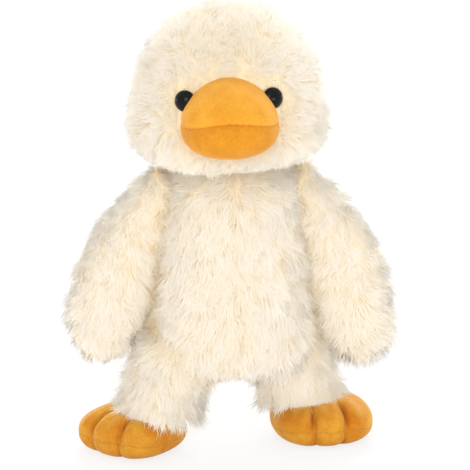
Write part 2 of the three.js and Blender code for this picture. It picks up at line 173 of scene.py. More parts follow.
# Points whose |x / wide|^oval + |y / deep|^oval is under 1, for the sizes at their height less a margin.
def insideOf(form, points, margin):
    share = shareAt(form, points[..., 2])
    wide, deep = halfSizes(form, np.clip(share, 0, 1))
    x = points[..., 0] / np.maximum(wide - margin, 0.1)
    y = (points[..., 1] - form.get("centreY", 0)) / np.maximum(deep - margin, 0.1)
    return (np.abs(x) ** oval + np.abs(y) ** oval < 1) & (share > 0) & (share < 1)


# Roughly how many millimetres points stand off a form, at their own height:
# ((|x / wide|^oval + |y / deep|^oval)^(1 / oval) - 1) times the smaller half size.
def standOff(form, points):
    wide, deep = halfSizes(form, np.clip(shareAt(form, points[..., 2]), 0.02, 0.98))
    x, y = np.abs(points[..., 0]) / wide, np.abs(points[..., 1] - form.get("centreY", 0)) / deep
    return ((x ** oval + y ** oval) ** (1 / oval) - 1) * np.minimum(wide, deep)


# Normals from steps both ways round and up a form, turned to point away from a middle inside it.
def normalsOf(point, around, up, middle):
    step = 1e-3
    low, high = np.clip(up - step, 1e-4, 1), np.clip(up + step, 0, 1 - 1e-4)
    sideways = point(around + step, up) - point(around - step, up)
    found = np.cross(sideways, point(around, high) - point(around, low))
    here = point(around, up)
    return unit(found) * np.where(dot(found, here - middle(here)) < 0, -1, 1)


# A grid of points round and up a form, with their normals.
def gridOf(point, aroundRange, upRange, columns, rows, middle):
    around, up = np.meshgrid(np.linspace(*aroundRange, columns), np.linspace(*upRange, rows))
    return point(around, up), normalsOf(point, around, np.clip(up, 0.004, 0.996), middle)


# Roots spread evenly by area: a share of the total area picks a cell, then a place inside it.
def scatter(point, aroundRange, upRange, perMm2, middle, keep):
    rows, columns = 160, 160
    around = np.linspace(*aroundRange, columns + 1)
    up = np.linspace(*upRange, rows + 1)
    corners = point(*np.meshgrid(around, up))
    edgeA, edgeB = corners[:-1, 1:] - corners[:-1, :-1], corners[1:, :-1] - corners[:-1, :-1]
    areas = np.linalg.norm(np.cross(edgeA, edgeB), axis=-1).ravel()
    total = np.cumsum(areas)
    count = int(total[-1] * perMm2 * pileShare)
    picked = np.searchsorted(total, (np.arange(count) + dice.random(count)) / count * total[-1])
    picked = np.clip(picked, 0, len(areas) - 1)
    row, column = picked // columns, picked % columns
    a = mix(around[column], around[column + 1], dice.random(count))
    u = mix(up[row], up[row + 1], dice.random(count))
    roots, normals = point(a, u), normalsOf(point, a, u, middle)
    chosen = np.isfinite(normals).all(-1) & keep(roots)
    return roots[chosen], normals[chosen]


# Two triangles for each of many four-cornered faces.
def quads(a, b, c, d):
    return np.concatenate([np.stack([a, b, c], -1).reshape(-1, 3), np.stack([a, c, d], -1).reshape(-1, 3)])


# A closed shell of cloth: the outer grid, the same grid set in by the cloth's thickness, and a rim.
def shell(outer, normals, thickness):
    rows, columns = outer.shape[:2]
    inner = outer - normals * thickness
    number = np.arange(rows * columns).reshape(rows, columns)
    a, b, c, d = number[:-1, :-1], number[:-1, 1:], number[1:, 1:], number[1:, :-1]
    front = quads(a, b, c, d)
    back = front[:, ::-1] + rows * columns
    rims = []
    for edge in (number[0], number[:, -1], number[-1, ::-1], number[::-1, 0]):
        p, q = edge[:-1], edge[1:]
        rims.append(quads(q, p, p + rows * columns, q + rows * columns))
    return np.concatenate([outer.reshape(-1, 3), inner.reshape(-1, 3)]), np.concatenate([front, back, *rims])


# Doubles are merged where a pole or a seam closes, and the faces are turned outwards.
def cleaned(points, faces):
    mesh = bpy.data.meshes.new("cleaning")
    mesh.from_pydata(points.tolist(), [], faces.tolist())
    bm = bmesh.new()
    bm.from_mesh(mesh)
    bmesh.ops.remove_doubles(bm, verts=bm.verts, dist=0.02)
    bmesh.ops.dissolve_degenerate(bm, edges=bm.edges, dist=0.01)
    bmesh.ops.triangulate(bm, faces=bm.faces)
    bmesh.ops.recalc_face_normals(bm, faces=bm.faces)
    bm.to_mesh(mesh)
    bm.free()
    out = np.zeros(len(mesh.vertices) * 3)
    mesh.vertices.foreach_get("co", out)
    loops = np.zeros(len(mesh.loops), np.int32)
    mesh.loops.foreach_get("vertex_index", loops)
    bpy.data.meshes.remove(mesh)
    return out.reshape(-1, 3), loops.reshape(-1, 3)


def placed(points):
    return points * 0.001 + toyAxis


# Puts triangles into a mesh at the origin, with its own texture map and shading normals where it has them.
def makePiece(name, points, faces, material, texture=None, shading=None):
    mesh = bpy.data.meshes.new(name)
    mesh.vertices.add(len(points))
    mesh.vertices.foreach_set("co", placed(points).astype(np.float32).ravel())
    mesh.loops.add(faces.size)
    mesh.loops.foreach_set("vertex_index", faces.astype(np.int32).ravel())
    mesh.polygons.add(len(faces))
    mesh.polygons.foreach_set("loop_start", np.arange(0, faces.size, 3, dtype=np.int32))
    mesh.polygons.foreach_set("use_smooth", np.ones(len(faces), bool))
    if texture is not None:
        layer = mesh.uv_layers.new(name="OFBake")
        layer.uv.foreach_set("vector", texture[faces.ravel()].astype(np.float32).ravel())
    mesh.update()
    mesh.validate()
    if shading is not None:
        mesh.normals_split_custom_set_from_vertices(shading)
    mesh.materials.append(material)
    piece = bpy.data.objects.new(name, mesh)
    bpy.context.scene.collection.objects.link(piece)
    return piece


# Materials
def newMaterial(name, roughness, **sockets):
    material = bpy.data.materials.new(name)
    material.use_nodes = True
    shader = material.node_tree.nodes["Principled BSDF"]
    shader.inputs["Roughness"].default_value = roughness
    for socket, value in sockets.items():
        shader.inputs[socket].default_value = value
    return material, material.node_tree, shader


def ramp(tree, stops):
    node = tree.nodes.new("ShaderNodeValToRGB")
    node.color_ramp.elements[0].position, node.color_ramp.elements[0].color = stops[0][0], (*stops[0][1], 1)
    node.color_ramp.elements[1].position, node.color_ramp.elements[1].color = stops[-1][0], (*stops[-1][1], 1)
    for position, colour in stops[1:-1]:
        node.color_ramp.elements.new(position).color = (*colour, 1)
    return node


def noise(tree, scale, detail):
    node = tree.nodes.new("ShaderNodeTexNoise")
    node.inputs["Scale"].default_value = scale
    node.inputs["Detail"].default_value = detail
    place = tree.nodes.new("ShaderNodeTexCoord")
    tree.links.new(place.outputs["Object"], node.inputs["Vector"])
    return node


def multiplied(tree, first, second):
    node = tree.nodes.new("ShaderNodeMix")
    node.data_type, node.blend_type = "RGBA", "MULTIPLY"
    node.inputs[0].default_value = 1.0
    tree.links.new(first, node.inputs[6])
    tree.links.new(second, node.inputs[7])
    return node.outputs[2]


# Pile: yellower and darker at the root, which is painted shade deep in the pile, and paler at the tip, with a
# slightly different tone from tuft to tuft. The map's V runs from root to tip, and its U is the tuft's tone.
def pileMaterial():
    material, tree, shader = newMaterial(
        "creamPile", 0.85, **{"Specular IOR Level": 0.1, "Sheen Weight": 0.35, "Sheen Roughness": 0.5})
    uv = tree.nodes.new("ShaderNodeUVMap")
    uv.uv_map = "OFBake"
    parts = tree.nodes.new("ShaderNodeSeparateXYZ")
    tree.links.new(uv.outputs["UV"], parts.inputs[0])
    length = ramp(tree, [(0.0, (0.965, 0.79, 0.52)), (0.3, (0.955, 0.86, 0.70)), (1.0, (0.968, 0.937, 0.88))])
    tone = ramp(tree, [(0.0, (0.985, 0.95, 0.885)), (1.0, (1.0, 1.0, 1.0))])
    tree.links.new(parts.outputs["Y"], length.inputs[0])
    tree.links.new(parts.outputs["X"], tone.inputs[0])
    tree.links.new(multiplied(tree, length.outputs[0], tone.outputs[0]), shader.inputs["Base Color"])
    return material


# Velour: a short nap that lies one way in some patches and another way in others, over a fine grain.
# Scales are in lumps per metre, and the bump's depth is in metres.
velourForm = dict(patches=75, grain=900, bump=0.35, depth=0.0004)


def velourMaterial(name, deep, bright, sheen=0.3):
    material, tree, shader = newMaterial(
        name, 0.8, **{"Specular IOR Level": 0.2, "Sheen Weight": sheen, "Sheen Roughness": 0.4,
                      "Sheen Tint": (1.0, 0.76, 0.38, 1)})
    patches = ramp(tree, [(0.32, deep), (0.68, bright)])
    grain = ramp(tree, [(0.3, (0.86, 0.82, 0.78)), (0.7, (1.0, 1.0, 1.0))])
    tree.links.new(noise(tree, velourForm["patches"], 3).outputs["Fac"], patches.inputs[0])
    fine = noise(tree, velourForm["grain"], 2)
    tree.links.new(fine.outputs["Fac"], grain.inputs[0])
    tree.links.new(multiplied(tree, patches.outputs[0], grain.outputs[0]), shader.inputs["Base Color"])
    bump = tree.nodes.new("ShaderNodeBump")
    bump.inputs["Strength"].default_value = velourForm["bump"]
    bump.inputs["Distance"].default_value = velourForm["depth"]
    tree.links.new(fine.outputs["Fac"], bump.inputs["Height"])
    tree.links.new(bump.outputs[0], shader.inputs["Normal"])
    return material


def speckledMaterial(name, dark, light, scale, roughness, **sockets):
    material, tree, shader = newMaterial(name, roughness, **sockets)
    tones = ramp(tree, [(0.3, dark), (0.7, light)])
    tree.links.new(noise(tree, scale, 3).outputs["Fac"], tones.inputs[0])
    tree.links.new(tones.outputs[0], shader.inputs["Base Color"])
    return material


creamPile = pileMaterial()
billUpperVelour = velourMaterial("billUpperVelour", (0.80, 0.34, 0.022), (0.90, 0.42, 0.04))
# The lower bill's velour is a darker copy of the upper's: painted shade, as the lower panel faces down.
billLowerVelour = velourMaterial("billLowerVelour", (0.67, 0.25, 0.010), (0.79, 0.34, 0.024))
# The feet's velour is a darker copy of the bill's: painted shade.
footVelour = velourMaterial("footVelour", (0.60, 0.20, 0.008), (0.72, 0.36, 0.035), 0.42)
eyeBlack = speckledMaterial("eyeBlack", (0.003, 0.003, 0.004), (0.006, 0.006, 0.005), 300, 0.12,
                            **{"Specular IOR Level": 0.16})
looseFibre = speckledMaterial("looseFibre", (0.80, 0.79, 0.75), (0.90, 0.89, 0.86), 400, 0.95)
milkyPlastic = speckledMaterial("milkyPlastic", (0.66, 0.68, 0.68), (0.72, 0.74, 0.74), 120, 0.45)


# Hair shape: its width halfway as a share, how its gathering grows, its lowest height in mm, and how much
# its shading faces as the cloth does, as its own sides do, as it points, and up and to the front, because
# light passes through fine hair.
hairForm = dict(halfway=0.8, gathering=1.4, lowest=0.6, byCloth=0.75, bySides=0.35, byDirection=0.15,
                skyward=(0, -0.12, 0.3), tipByCloth=0.8, tipByDirection=0.3, toneAcross=0.012)


# Each hair is three-sided and follows root + length * (first * (s - s^2/2) + last * s^2/2). It is drawn
# to the middle of its tuft by gather * s^1.4, is kinked halfway, and narrows to a point above the ground.
def hairs(roots, normals, first, last, length, width, gather, kink, tone, pale):
    f = hairForm
    share = np.array([0.0, 0.5, 1.0])
    narrow = np.array([1.0, f["halfway"]])
    reach, drawn = length[:, None], f["gathering"]
    rings = [roots + reach * (first * (s - s * s / 2) + last * s * s / 2) + gather * s ** drawn
             for s in share]
    rings[1] = rings[1] + kink
    count, tip = len(roots), 6  # the tip is numbered after two rings of three corners
    points, shading, texture = (np.zeros((count, tip + 1, size)) for size in (3, 3, 2))
    sideways = unit(np.cross(first, normals) + 1e-6)
    skyward = np.array(f["skyward"])
    for ring in range(2):
        along = unit(rings[ring + 1] - rings[ring])
        across = unit(sideways - along * dot(sideways, along))
        other = np.cross(along, across)
        for corner in range(3):
            angle = math.radians(90 + 120 * corner)
            out = math.cos(angle) * across + math.sin(angle) * other
            at = 3 * ring + corner
            points[:, at] = rings[ring] + out * (width * narrow[ring] / 2)[:, None]
            facing = f["byCloth"] * normals + f["bySides"] * out + f["byDirection"] * along
            shading[:, at] = unit(facing + skyward)
            # V is times pale, which is lower where shade is painted, so such a hair shows its root's colour
            # further up.
            texture[:, at] = np.stack([tone + (corner - 1) * f["toneAcross"], share[ring] * pale], -1)
    points[:, tip] = rings[2]
    direction = unit(rings[2] - rings[1])
    shading[:, tip] = unit(f["tipByCloth"] * normals + f["tipByDirection"] * direction + skyward)
    texture[:, tip] = np.stack([tone, pale], -1)
    points[..., 2] = np.maximum(points[..., 2], f["lowest"])
    faces = [[0, 2, 1]]
    for corner in range(3):
        a, b = corner, (corner + 1) % 3
        faces += [[a, b, b + 3], [a, b + 3, a + 3], [a + 3, b + 3, tip]]
    faces = (np.arange(count) * (tip + 1))[:, None, None] + np.array(faces)[None]
    return points.reshape(-1, 3), faces.reshape(-1, 3), shading.reshape(-1, 3), texture.reshape(-1, 2)


# The part of a direction that lies along a surface.
def tangent(direction, normals):
    return unit(direction - normals * dot(direction, normals))


# How hairs differ. Sizes of the small tufts and the patches are shares of a tuft's, lengths and widths are
# shares of the usual ones, the stray turn is in radians, and kinks and the root's depth are in mm.
pileForm = dict(smallTuft=0.42, patch=2.4, strayTurn=0.3, tuftLift=0.22, strayLift=0.08, lifts=(0.08, 0.95),
                tuftDrop=0.25, sag=0.1, tuftLengths=(0.72, 1.24), hairLengths=(0.75, 1.12), longest=1.55,
                hairWidths=(0.7, 1.25), tuftKink=0.06, strayKink=0.5, paleness=(0.85, 1.0), rootDepth=0.8)
looseHair = dict(share=0.22, gather=0.1, length=1.3, width=0.7)
toneForm = dict(patch=0.35, tuft=0.3, smallTuft=0.2, hair=0.15, contrast=1.5, offset=0.25, range=(0.03, 0.97))


# Pile settings: length and width of a hair in mm, lift of its root off the cloth (0 flat, 1 upright) and
# how much its tip droops, tuft size in mm, how far it is drawn to its tuft, and how much tufts differ.
# A hair that stands in a crease is less pale and shows the colour of its root further up: painted shade.
def grow(roots, normals, lay, settings, lengthShare, pale):
    f, t, count = pileForm, toneForm, len(roots)
    middle, odd = tufts(roots, settings["tuft"], settings["salt"])
    small, fineOdd = tufts(roots, settings["tuft"] * f["smallTuft"], settings["salt"] + 40)
    away = np.cross(normals, lay)
    swing = settings["unruly"] * (2 * (odd[0] + 0.5 * fineOdd[0]) - 1.5)
    swing = swing + f["strayTurn"] * dice.normal(size=count)
    lay = unit(lay * np.cos(swing)[:, None] + away * np.sin(swing)[:, None])
    lift = settings["lift"] + f["tuftLift"] * (odd[1] + fineOdd[1] - 1)
    lift = np.clip(lift + f["strayLift"] * dice.normal(size=count), *f["lifts"])[:, None]
    drop = np.clip(lift - settings["droop"] + f["tuftDrop"] * (odd[2][:, None] - 0.5), 0.0, 1)
    first = unit(normals * np.sin(lift * math.pi / 2) + lay * np.cos(lift * math.pi / 2))
    last = normals * np.sin(drop * math.pi / 2) + lay * np.cos(drop * math.pi / 2)
    last = unit(last - np.array([0, 0, f["sag"]]))
    length = settings["length"] * lengthShare * mix(*f["tuftLengths"], odd[3])
    length = length * mix(*f["hairLengths"], dice.random(count))
    toMiddle = (middle + small) / 2 - roots
    toMiddle = toMiddle - normals * dot(toMiddle, normals)
    loose = dice.random(count) < looseHair["share"]
    gather = toMiddle * (settings["gather"] * np.where(loose, looseHair["gather"], 1.0))[:, None]
    length = np.where(loose, length * looseHair["length"], length)
    length = np.minimum(length, f["longest"] * settings["length"])
    width = settings["width"] * mix(*f["hairWidths"], dice.random(count))
    width = width * np.where(loose, looseHair["width"], 1.0)
    patch = 0.5 + 0.5 * waviness(roots, f["patch"] * settings["tuft"], settings["salt"] + 60)
    tone = t["patch"] * patch + t["tuft"] * odd[4] + t["smallTuft"] * fineOdd[2]
    tone = np.clip(t["contrast"] * (tone + t["hair"] * dice.random(count)) - t["offset"], *t["range"])
    kink = (middle - small) * f["tuftKink"] + f["strayKink"] * dice.normal(size=(count, 3))
    pale = pale * mix(*f["paleness"], dice.random(count))
    roots = roots - normals * f["rootDepth"]
    return hairs(roots, normals, first, last, length, width, gather, kink, tone, pale)


# Thickness of both cloths in mm, how firmly skins and wads are filled, and where the plush's own colour lies
# in the pile's map: any tone, and hardly up from the roots, so the cloth takes the roots' painted shade.
clothForm = dict(plush=2.4, velour=1.6, fill=0.8, wadFill=0.7, tone=(0.1, 0.9), upFromRoot=0.04)


# A plush panel: a shell of cloth that stands for the solid, and the pile on it in pieces of its own.
def plushPanel(name, body, node, grid, normals, piles, pose=straight):
    points, faces = cleaned(*shell(grid, normals, clothForm["plush"]))
    tone = mix(*clothForm["tone"], dice.random(len(points)))
    texture = np.stack([tone, clothForm["upFromRoot"] * dice.random(len(points))], -1)
    cloth = makePiece(name, posed(points, pose), faces, creamPile, texture)
    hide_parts(node)
    pieces = [cloth]
    for suffix, (hair, hairFaces, shading, hairTexture) in piles.items():
        shading = shading @ pose[0].T
        pile = makePiece(name + suffix, posed(hair, pose), hairFaces, creamPile, hairTexture, shading)
        pile.visible_shadow = False  # light passes between fine hairs, and their cloth casts the shadow
        pieces.append(pile)
        print(name + suffix, len(hairFaces), "triangles")
    for piece in pieces:
        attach(piece, body)


# Body: an upright form held inside the dome that the head rocks on.
bodyForm = dict(bottom=44, height=141, width=(106, 74), depth=(84, 64), blunt=(6, 6), sideSeam=4,
                neckPivot=145, neckRadius=40, neckShoulder=15, core=(92, 140), grid=(40, 80))
bodySettings = dict(length=12.5, lift=0.42, droop=0.22, tuft=8, gather=0.52, unruly=0.62, width=0.55,
                    perMm2=1.45, salt=300)

# Where the body's hair changes: distances from the middle in mm, heights in mm, and shares of the half width.
bodyHair = dict(parting=9, flank=(24, 40), collar=(146, 168), low=(48, 74), overLeg=(12, 26), seam=(0.5, 5),
                behindWing=(0.84, 0.95), hip=(50, 64), crease=2.2, creaseTop=(130, 155), chin=(158, 174),
                crotch=(44, 52), haired=(0.02, 0.98), bareAbove=178, bareInLegs=2,
                wingSeam=dict(out=30, back=8, height=160, half=6))

# How much it changes there: how far it leans sideways, its lift and length, and how dark the painted shade is
# where it lies in a crease.
bodyChange = dict(partingWidth=5, lean=0.1, partingLean=0.15, flankLean=0.45, collarRise=0.9, seamLength=0.95,
                  lowLift=0.14, collarLift=0.2, middleCrease=0.35, chinCrease=0.15, crotchCrease=0.5,
                  creases=0.8, betweenLegs=-0.3, overLegs=0.55)


# Above the neck's shoulder the point is drawn in until it lies on a ball about the neck's pivot.
def bodyPoint(around, up):
    p = uprightPoint(bodyForm, around, crowded(up))
    radius = bodyForm["neckRadius"]
    rise = p[..., 2] - bodyForm["neckPivot"]
    room = np.sqrt(np.maximum(radius ** 2 - rise ** 2, 0))
    flat = np.hypot(p[..., 0], p[..., 1])
    shoulder = radius * math.sin(math.radians(bodyForm["neckShoulder"]))
    ratio = np.where(rise > shoulder, np.minimum(1, room / np.maximum(flat, 1e-6)), 1)
    return p * np.stack([ratio, ratio, np.ones_like(ratio)], -1)


def bodyMiddle(points):
    return vec(0, 0, np.clip(points[..., 2], *bodyForm["core"]))


# Half the body's width at a height.
def bodySide(height):
    return float(halfSizes(bodyForm, shareAt(bodyForm, height))[0])


# Legs: rings from the ankle to the hip, leaning inwards, then half a ball.
legForm = dict(ankleX=45, stride=9, low=21.5, ankleTop=26, hipX=33, hip=58, ankleRadius=21, hipRadius=24,
               closing=0.05, core=(30, 58), grid=(60, 44))
legSettings = dict(length=13, lift=0.36, droop=0.18, tuft=7, gather=0.6, unruly=0.75, width=0.55,
                   perMm2=1.45, salt=700, cuff=(24, 40), cuffLift=0.22, top=(44, 60), topLift=0.08,
                   shorter=0.08, lean=0.1, crease=(0, 9), creases=0.6, haired=(0.06, 0.9), bareInBody=1.5)


# At a height, the leg's middle and its radius: both go in a straight line from ankle to hip, and above
# the hip the radius is sqrt(hipRadius^2 - rise^2).
def legSection(side, z):
    climb = np.clip((z - legForm["ankleTop"]) / (legForm["hip"] - legForm["ankleTop"]), 0, 1)
    radius = mix(legForm["ankleRadius"], legForm["hipRadius"], climb)
    over = np.clip(z - legForm["hip"], 0, legForm["hipRadius"])
    x = side * mix(legForm["ankleX"], legForm["hipX"], climb)
    return x, side * legForm["stride"], np.sqrt(radius ** 2 - over ** 2)


# The first share of the way up closes the leg's lower end with a disc.
def legPoint(side, around, up):
    closing = legForm["closing"]
    climb = np.clip((up - closing) / (1 - closing), 0, 1)
    z = mix(legForm["low"], legForm["hip"] + legForm["hipRadius"], climb)
    x, y, radius = legSection(side, z)
    radius = radius * np.clip(up / closing, 0, 1)
    return vec(x + radius * np.cos(around), y + radius * np.sin(around), z)


def legMiddle(side, points):
    x, y, _ = legSection(side, points[..., 2])
    return vec(x, y, np.clip(points[..., 2], *legForm["core"]))


def insideLegs(points, margin):
    found = np.zeros(points.shape[:-1], bool)
    for side in sides.values():
        x, y, radius = legSection(side, points[..., 2])
        found = found | (np.hypot(points[..., 0] - x, points[..., 1] - y) < radius - margin)
    return found & (points[..., 2] < legForm["hip"] + legForm["hipRadius"])


# Hair leaves the seam down the front to both sides and hangs. It is short between the legs, hangs longer
# and flatter over the tops of the legs, leans out towards the wings, and stands up round the neck.
def bodyPile(roots, normals):
    f, by = bodyHair, bodyChange
    out, front, height = np.abs(roots[:, 0]), roots[:, 1] < 0, roots[:, 2]
    side = np.tanh(roots[:, 0] / by["partingWidth"])
    parting = np.exp(-out / f["parting"]) * front
    flank, collar = smooth(out, *f["flank"]), smooth(height, *f["collar"])
    lean = by["lean"] + by["partingLean"] * parting + by["flankLean"] * flank
    lay = tangent(vec(side * lean, 0 * side, -1 + by["collarRise"] * collar), normals)
    atSeam = mix(by["seamLength"], 1, smooth(out, *f["seam"]))
    low, overLeg = 1 - smooth(height, *f["low"]), smooth(out, *f["overLeg"])
    lift = bodySettings["lift"] - by["lowLift"] * low * overLeg + by["collarLift"] * collar
    wide = halfSizes(bodyForm, np.clip(shareAt(bodyForm, height), 0, 1))[0]
    # Painted shade: behind the wings, in the middle seam's crease, under the head and between the legs the
    # hairs are less pale, so their root's colour shows further up.
    behindWing = smooth(out / np.maximum(wide, 1), *f["behindWing"]) * smooth(height, *f["hip"])
    middle = by["middleCrease"] * np.exp(-(out / f["crease"]) ** 2) * front
    middle = middle * (1 - smooth(height, *f["creaseTop"]))
    underHead = by["chinCrease"] * smooth(height, *f["chin"])
    betweenLegs = by["crotchCrease"] * (1 - smooth(height, *f["crotch"]))
    crease = np.max([behindWing, middle, underHead, betweenLegs], axis=0)
    length = atSeam * (1 + low * mix(by["betweenLegs"], by["overLegs"], overLeg))
    return grow(roots, normals, lay, bodySettings | {"lift": lift}, length, 1 - by["creases"] * crease)


# No hair grows under the head, in the seam of a wing or inside a leg.
def bodyKeep(points):
    x, y, z = np.abs(points).T
    seam = bodyHair["wingSeam"]
    inWing = (x > seam["out"]) & (y < seam["back"]) & (np.abs(z - seam["height"]) < seam["half"])
    return (z <= bodyHair["bareAbove"]) & ~inWing & ~insideLegs(points, bodyHair["bareInLegs"])


def makeBody():
    setback = math.asin(4 * bodyForm["sideSeam"] / sum(bodyForm["depth"]))
    for face, start, turn in (("front", -math.pi / 2, math.pi / 2 + setback),
                              ("back", math.pi / 2, setback - math.pi / 2)):
        for hand, side in sides.items():
            def quarter(across, up):
                return bodyPoint(start + across * turn, up) * np.array([side, 1, 1])

            grid, normals = gridOf(quarter, (0, 1), (0, 1), *bodyForm["grid"], bodyMiddle)
            roots, rootNormals = scatter(quarter, (0, 1), bodyHair["haired"], bodySettings["perMm2"],
                                         bodyMiddle, bodyKeep)
            name, node = f"body{face.title()}{hand.title()}", f"body_{face}_{hand}_panel"
            plushPanel(name, "torso", node, grid, normals, {"Pile": bodyPile(roots, rootNormals)})


makeBody()


def makeLegs():
    for hand, side in sides.items():
        def skin(around, up):
            return legPoint(side, around, up)

        def middle(points):
            return legMiddle(side, points)

        f, whole = legSettings, (0, 2 * math.pi)
        grid, normals = gridOf(skin, whole, (0, 1), *legForm["grid"], middle)
        roots, rootNormals = scatter(skin, whole, f["haired"], f["perMm2"], middle,
                                     lambda points: ~insideOf(bodyForm, points, f["bareInBody"]))
        lay = tangent(vec(side * f["lean"] + 0 * roots[:, 0], 0 * roots[:, 0], -1), rootNormals)
        cuff, top = 1 - smooth(roots[:, 2], *f["cuff"]), smooth(roots[:, 2], *f["top"])
        fuller = f | {"lift": f["lift"] + f["cuffLift"] * cuff + f["topLift"] * top}
        # Painted shade: hairs close under the body are less pale, so their root's colour shows further up.
        crease = (1 - smooth(standOff(bodyForm, roots), *f["crease"])) * (roots[:, 2] > bodyForm["bottom"])
        pile = grow(roots, rootNormals, lay, fuller, 1 - f["shorter"] * top, 1 - f["creases"] * crease)
        plushPanel(f"leg{hand.title()}", f"leg_{hand}", f"leg_{hand}_skin", grid, normals, {"Pile": pile})


makeLegs()

# Wings: ovals along a curve from the shoulder out and down. Above its start a wing closes like an egg.
wingForm = dict(drop=108, spread=41.5, bow=0.72, bend=0.35, width=46, depth=38, rootRadius=9, rootDepth=28,
                rootHeight=163, standOff=2.5, lead=0.075, swell=(-0.2, 0.62), blunt=6, core=(0.02, 0.9),
                grid=(36, 70))
wingSettings = dict(length=12.5, lift=0.38, droop=0.18, tuft=8, gather=0.6, unruly=0.7, width=0.55,
                    perMm2=1.45, salt=500, tipLength=dict(left=1.38, right=0.5),
                    tipSplay=dict(left=0.85, right=0.4))

# Where a wing's hair changes: heights in mm, how far out in mm, and how far off the body in mm.
wingHair = dict(tip=(56, 84), splay=(62, 140), root=(96, 130), rootLength=0.68, outer=(-14, 6),
                crease=(2, 13), creases=0.8, rootSplay=0.05, innerSplay=-0.5, haired=(0.01, 0.99),
                bareInBody=1)


# The curve from root to tip is (1-t)^2 * root + 2t(1-t) * bend + t^2 * tip.
def wingLine(side, t):
    f = wingForm
    root = np.array([side * (bodySide(f["rootHeight"]) + f["standOff"]), 0, f["rootHeight"]])
    bend = root + np.array([side * f["spread"] * f["bow"], 0, -f["drop"] * f["bend"]])
    tip = root + np.array([side * f["spread"], 0, -f["drop"]])
    along = unit((1 - t) * (bend - root) + t * (tip - bend))
    return (1 - t) ** 2 * root + 2 * t * (1 - t) * bend + t ** 2 * tip, along


# Along the curve the oval's sizes swell from the root's to the wing's, times sqrt(1 - t^blunt) at the tip and
# sqrt(1 - (share / lead)^2) above the root, where lead is how far the wing reaches over the curve's start.
def wingPoint(side, around, up):
    f = wingForm
    share = mix(-f["lead"], 1, up)
    t = np.clip(share, 0, 1)[..., None]
    line, along = wingLine(side, t)
    line = line + vec(0, 0, np.maximum(-share, 0) * f["drop"])
    across = np.cross(along, np.array([0.0, 1.0, 0.0]))
    swell = smooth(share, *f["swell"])
    closing = np.sqrt(np.maximum(1 - np.abs(t[..., 0]) ** f["blunt"], 0))
    closing = closing * np.sqrt(np.maximum(1 - np.minimum(share / f["lead"], 0) ** 2, 0))
    wide = mix(f["rootRadius"], f["width"] / 2, swell) * closing
    deep = mix(f["rootDepth"], f["depth"], swell) / 2 * closing
    a = (wide * powered(np.cos(around), 2 / oval))[..., None] * across
    b = (deep * powered(np.sin(around), 2 / oval))[..., None] * np.array([0.0, 1.0, 0.0])
    return line + a + b


# The point of the wing's own curve that is as high as each point, kept a little in from both ends.
def wingMiddle(side, points):
    line, _ = wingLine(side, np.linspace(*wingForm["core"], 60)[:, None])
    x = np.interp(-points[..., 2], -line[:, 2], line[:, 0])
    return vec(x, 0, np.clip(points[..., 2], line[-1, 2], line[0, 2]))


def makeWings():
    for hand, side in sides.items():
        def middle(points):
            return wingMiddle(side, points)

        for face, start in (("front", -math.pi / 2), ("back", math.pi / 2)):
            def half(across, up):
                return wingPoint(side, start + across * math.pi / 2, up)

            grid, normals = gridOf(half, (-1, 1), (0, 1), *wingForm["grid"], middle)
            f = wingHair
            roots, rootNormals = scatter(half, (-1, 1), f["haired"], wingSettings["perMm2"], middle,
                                         lambda points: ~insideOf(bodyForm, points, f["bareInBody"]))
            height = roots[:, 2]
            outer = smooth(side * (roots - middle(roots))[:, 0], *f["outer"])
            outerSplay = mix(wingSettings["tipSplay"][hand], f["rootSplay"], smooth(height, *f["splay"]))
            splay = side * mix(f["innerSplay"], outerSplay, outer)
            lay = tangent(vec(splay, 0 * splay, -1 + 0 * splay), rootNormals)
            atTip = mix(wingSettings["tipLength"][hand], 1.0, smooth(height, *f["tip"]))
            atRoot = mix(1.0, f["rootLength"], smooth(height, *f["root"]) * outer)
            # Painted shade: hairs close to the body are less pale, so their root's colour shows further up.
            crease = 1 - smooth(standOff(bodyForm, roots), *f["crease"])
            pale = 1 - f["creases"] * crease
            pile = grow(roots, rootNormals, lay, wingSettings, atTip * atRoot, pale)
            name, node = f"wing{hand.title()}{face.title()}", f"wing_{hand}_{face}_panel"
            plushPanel(name, f"wing_{hand}", node, grid, normals, {"Pile": pile})


makeWings()

# Head: a gusset over the crown between two cheek panels, hollowed underneath by the neck's socket.
headForm = dict(bottom=175, height=97, width=(124, 84), depth=(108, 80), blunt=(4.5, 2.6), gusset=62,
                yaw=-4, tilt=-1.5, socketGap=2, core=222, gussetGrid=(40, 70), cheekGrid=(36, 50))
headSettings = dict(length=11.5, lift=0.42, droop=0.2, tuft=7.5, gather=0.58, unruly=0.8, width=0.5,
                    perMm2=1.65, salt=100)

# Where the head's hair changes, in mm. The bill is taken as an oval with half sizes of 33 and 24 mm about
# the height of 218, and nearBill and atBill are shares of it.
headHair = dict(behind=(-18, 26), brow=(-2, 254), browSize=(20, 15), bill=(33, 24), billHeight=218,
                nearBill=(0.95, 2.2), atBill=(1.0, 1.5), eyes=(6, 17), seam=(0.5, 5), underneath=(178, 202),
                chin=(178, 188), haired=(0.02, 0.98), bareBelow=181, bareWithin=40, bareInBill=0.5,
                bareAtEyes=5.6)

# How much it changes there. Hair runs away from a source, given in mm along Y from the bill's middle, and in
# height. The rest is its lay, its length beside each feature, how dark the painted shade is at the bill and
# under the chin, and how much yellower the brow is.
headChange = dict(source=(-6, 220), sag=0.22, spread=0.006, backwards=0.75, browFront=-5, browTurn=0.7,
                  byBill=0.55, byEyes=0.5, underneath=0.42, onBrow=0.7, atSeam=0.97, billCrease=0.6,
                  chinCrease=0.7, browCrease=0.45)
neckSpot = (0, 0, bodyForm["neckPivot"])
headPose = poseOf(headForm["yaw"], headForm["tilt"], neckSpot, neckSpot)

